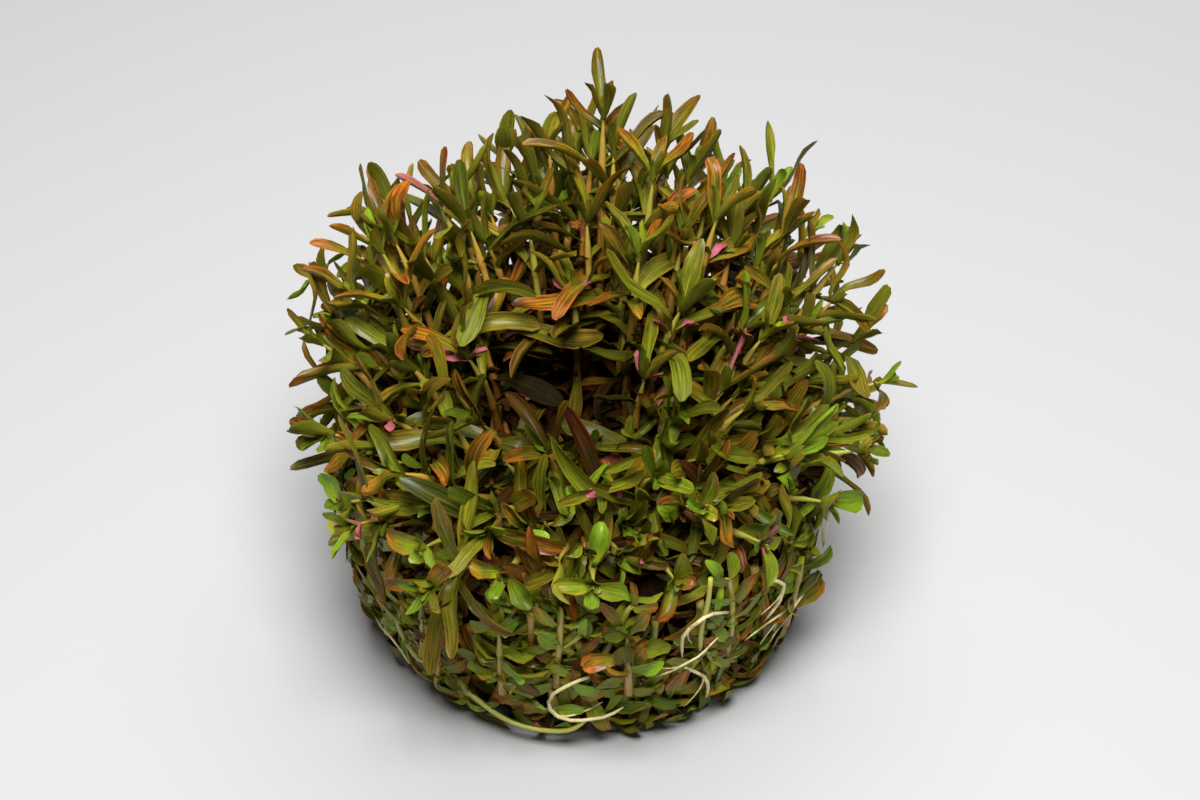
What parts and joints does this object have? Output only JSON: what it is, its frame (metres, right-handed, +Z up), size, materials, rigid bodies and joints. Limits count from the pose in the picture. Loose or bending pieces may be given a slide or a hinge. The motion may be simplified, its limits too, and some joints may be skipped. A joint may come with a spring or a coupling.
{
  "type": "rotala plant clump",
  "caption": "Dense round clump of a stemmed water plant: a pressed leafy mat with a flat underside, upright leafy shoots on top and thin pale roots down its side.",
  "frame": {"origin": "centre of the flat underside of the mat", "axes": "+Z up through the shoots, +X to the right as seen from the low front, +Y towards the tall back"},
  "size_m": [0.0933, 0.0879, 0.0881],
  "materials": {
    "mat": "satin",
    "shoot": "satin",
    "sprig": "satin",
    "wall_stem": "satin",
    "root": "satin"
  },
  "bodies": {
    "root": {"matted_base": "mat", "root_1": "root", "root_2": "root", "root_3": "root", "root_4": "root", "shoot_01": "shoot", "shoot_02": "shoot", "shoot_03": "shoot", "shoot_04": "shoot", "shoot_05": "shoot", "shoot_06": "shoot", "shoot_07": "shoot", "shoot_08": "shoot", "shoot_09": "shoot", "shoot_10": "shoot", "shoot_11": "shoot", "shoot_12": "shoot", "shoot_13": "shoot", "shoot_14": "shoot", "shoot_15": "shoot", "shoot_16": "shoot", "shoot_17": "shoot", "shoot_18": "shoot", "shoot_19": "shoot", "shoot_20": "shoot", "shoot_21": "shoot", "shoot_22": "shoot", "shoot_23": "shoot", "shoot_24": "shoot", "shoot_25": "shoot", "shoot_26": "shoot", "shoot_27": "shoot", "shoot_28": "shoot", "shoot_29": "shoot", "shoot_30": "shoot", "shoot_31": "shoot", "shoot_32": "shoot", "shoot_33": "shoot", "shoot_34": "shoot", "shoot_35": "shoot", "shoot_36": "shoot", "sprig_1": "sprig", "sprig_2": "sprig", "sprig_3": "sprig", "sprig_4": "sprig", "sprig_5": "sprig", "sprig_6": "sprig", "sprig_7": "sprig", "sprig_8": "sprig", "wall_stem_1": "wall_stem", "wall_stem_2": "wall_stem", "wall_stem_3": "wall_stem", "wall_stem_4": "wall_stem"}
  },
  "joints": []
}
